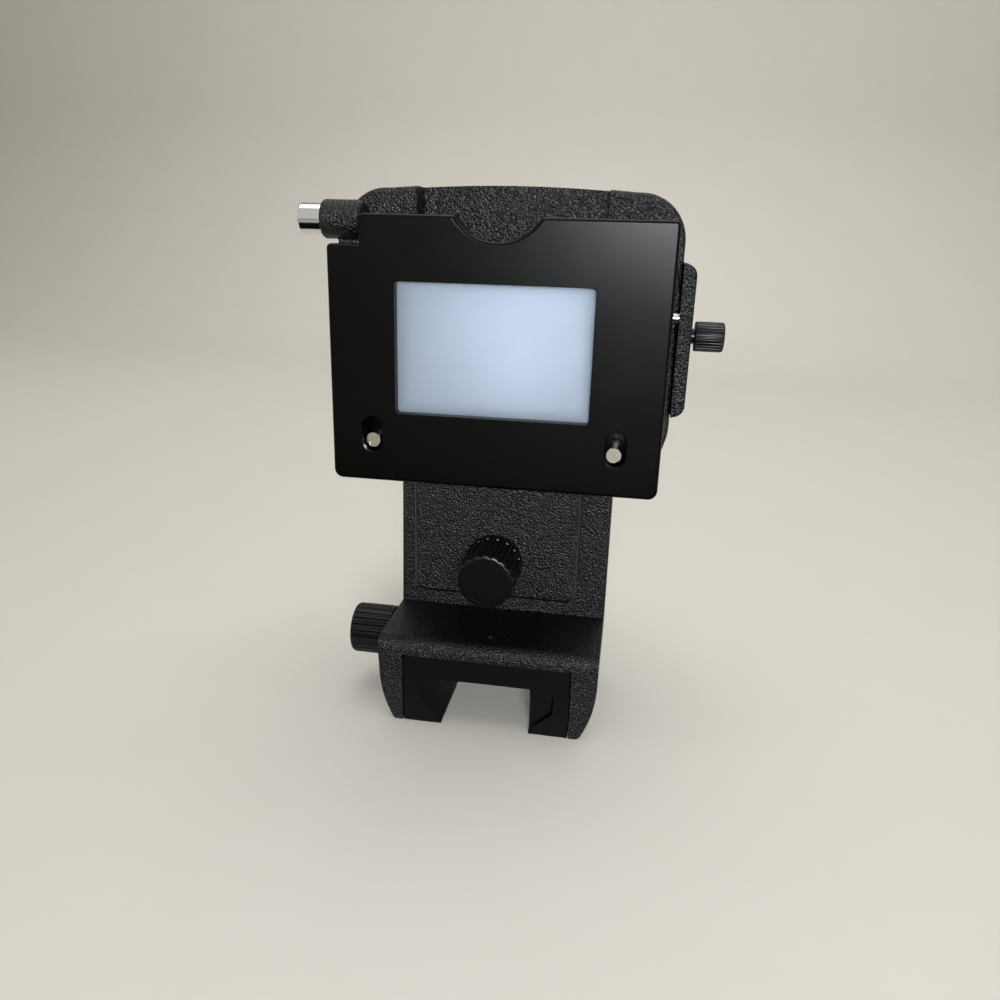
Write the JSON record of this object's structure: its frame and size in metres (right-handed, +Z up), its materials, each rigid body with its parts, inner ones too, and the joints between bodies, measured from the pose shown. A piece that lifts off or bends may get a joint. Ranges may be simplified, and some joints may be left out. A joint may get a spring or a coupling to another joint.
{
  "type": "slide duplicator",
  "caption": "Slide copying stage with an opal window, a slide slot, a height and side shift, a short bellows with a lens ring, and a clamp for a dovetail rail.",
  "frame": {"origin": "the middle of the foot's rail channel, on the plane of the foot's underside", "axes": "+Z up, +X to the right as seen from the diffuser's side, +Y along the rail from the diffuser towards the lens ring"},
  "size_m": [0.0909, 0.0626, 0.1257],
  "materials": {
    "crinkle_black": "fine crinkle",
    "satin_black": "satin",
    "black_anodised": "satin anodised",
    "bright_nickel": "bright turned",
    "chrome": "polished",
    "steel": "turned",
    "spring_steel": "bright",
    "blackened_steel": "blackened",
    "brass": "turned",
    "opal_acrylic": "matt opal",
    "bellows_cloth": "matt coated"
  },
  "bodies": {
    "base": {"base_bracket": "crinkle_black", "rail_shoe": "satin_black", "shoe_screws": "blackened_steel", "shoe_pin": "bright_nickel", "clamp_bush": "brass"},
    "clamp": {"clamp_knob": "black_anodised", "clamp_screw": "steel"},
    "jaw": {"clamp_jaw": "satin_black"},
    "head": {"head_bracket": "crinkle_black", "lock_stud": "steel", "clamp_plate": "steel", "lock_washer": "blackened_steel", "guide_pins": "bright_nickel", "side_cover": "crinkle_black", "cover_screws": "blackened_steel", "bellows_front_frame": "satin_black", "front_frame_screws": "blackened_steel", "bellows": "bellows_cloth"},
    "lift_lock_knob": {"lift_knob": "black_anodised", "lift_knob_cap": "black_anodised"},
    "shift": {"shift_knob": "black_anodised", "shift_spindle": "steel"},
    "stage": {"stage_plate": "satin_black", "guide_posts": "bright_nickel", "hinge_pins": "steel", "release_barrel": "crinkle_black", "barrel_screw": "blackened_steel", "button_spring": "spring_steel"},
    "plate": {"front_plate": "satin_black", "opal_diffuser": "opal_acrylic", "diffuser_frame": "satin_black", "frame_screws": "steel", "leaf_springs": "spring_steel"},
    "button": {"release_button": "chrome", "latch_tip": "steel"},
    "lens_end": {"bellows_rear_frame": "satin_black", "rear_frame_screws": "blackened_steel", "lens_ring": "satin_black", "ring_screws": "blackened_steel"}
  },
  "joints": [
    {"name": "clamp_turn", "type": "hinge", "parent": "base", "child": "clamp", "pos_m": [-0.03, 0, 0.0148], "axis": [1, 0, 0], "range_deg": [0, 720]},
    {"name": "jaw_slide", "type": "slide", "parent": "base", "child": "jaw", "axis": [-1, 0, 0], "range_m": [0, 0.002]},
    {"name": "head_lift", "type": "slide", "parent": "base", "child": "head", "axis": [0, 0, 1], "range_m": [-0.006, 0.006]},
    {"name": "lift_lock", "type": "hinge", "parent": "head", "child": "lift_lock_knob", "pos_m": [0, -0.015, 0.0408], "axis": [0, -1, 0], "range_deg": [0, 180]},
    {"name": "shift_turn", "type": "hinge", "parent": "head", "child": "shift", "pos_m": [0.045, -0.0063, 0.0959], "axis": [-1, 0, 0], "range_deg": [-1575, 1575]},
    {"name": "stage_shift", "type": "slide", "parent": "head", "child": "stage", "axis": [1, 0, 0], "range_m": [-0.0035, 0.0035]},
    {"name": "plate_swing", "type": "hinge", "parent": "stage", "child": "plate", "pos_m": [0, -0.0133, 0.0649], "axis": [1, 0, 0], "range_deg": [0, 25]},
    {"name": "button_push", "type": "slide", "parent": "stage", "child": "button", "axis": [1, 0, 0], "range_m": [0, 0.0016], "stiffness_N_per_m": 300, "deforming": ["button_spring"]},
    {"name": "bellows_draw", "type": "slide", "parent": "head", "child": "lens_end", "axis": [0, 1, 0], "range_m": [0, 0.03], "deforming": ["bellows"]}
  ],
  "couplings": [
    {"joint": "clamp_turn", "follows": "jaw_slide", "rad_per_m": 6283.2},
    {"joint": "shift_turn", "follows": "stage_shift", "rad_per_m": 7854}
  ]
}
